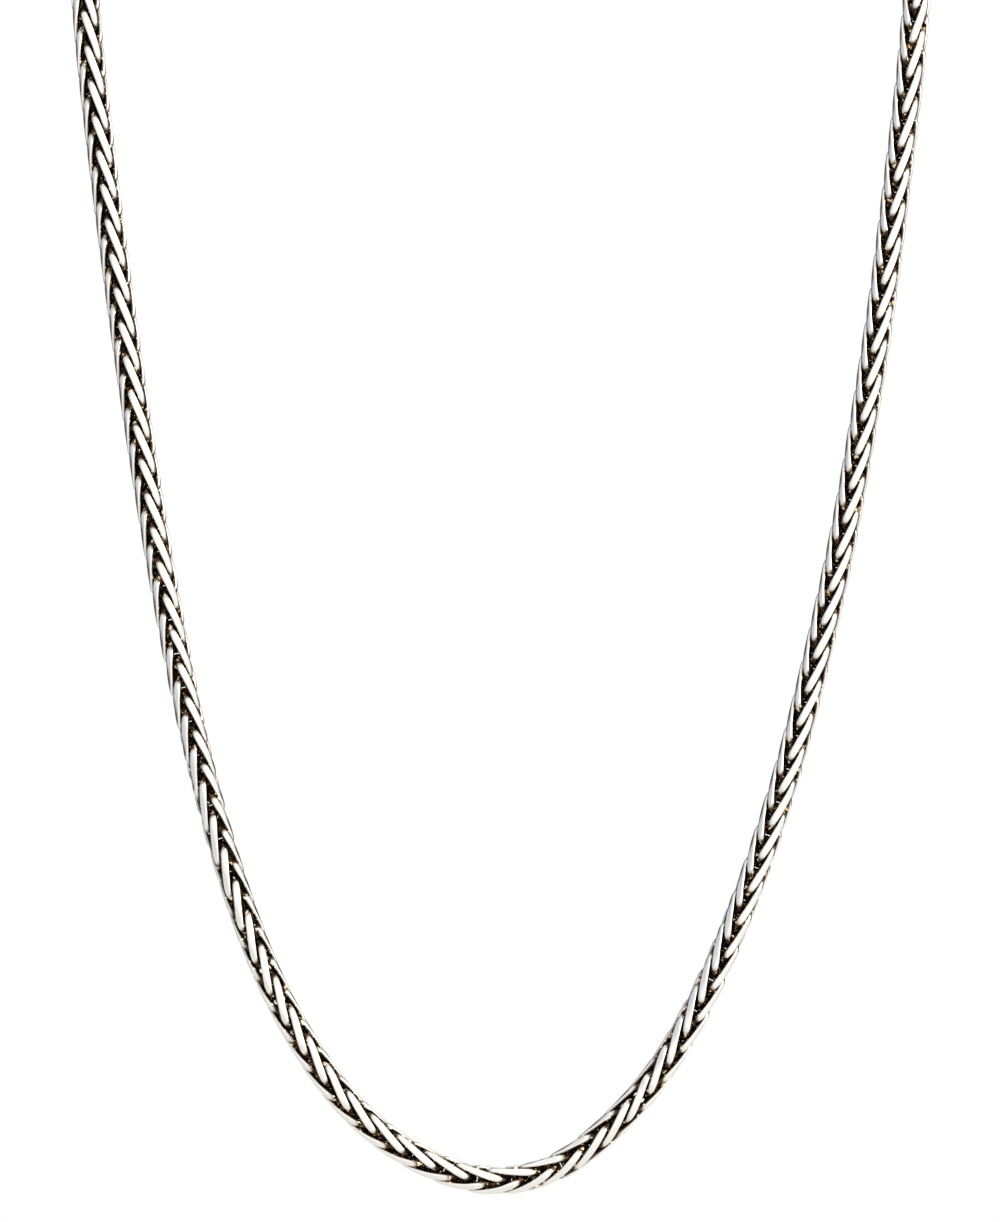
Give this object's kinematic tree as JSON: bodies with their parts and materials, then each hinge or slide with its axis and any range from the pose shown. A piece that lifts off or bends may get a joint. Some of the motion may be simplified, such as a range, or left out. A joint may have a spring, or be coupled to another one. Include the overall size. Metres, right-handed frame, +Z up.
{
  "type": "wheat chain necklace",
  "caption": "Necklace of finely woven wheat chain in polished white metal, a whole loop hanging in a U, joined at the nape by a plain clasp.",
  "frame": {"origin": "the middle of the clasp's inner face at the nape, where the necklace hangs on a neck", "axes": "+X towards the wearer's left, +Y from the front of the neck to the back, +Z up; the front of the chain hangs in one plane at y = -56 mm"},
  "size_m": [0.095, 0.0615, 0.185],
  "materials": {
    "chain_metal": "polished white metal with darkened recesses between the links",
    "fitting_metal": "polished white metal"
  },
  "bodies": {
    "root": {"chain": "chain_metal", "cap_left": "fitting_metal", "cap_right": "fitting_metal", "ring_left": "fitting_metal", "ring_right": "fitting_metal", "clasp": "fitting_metal"}
  },
  "joints": []
}
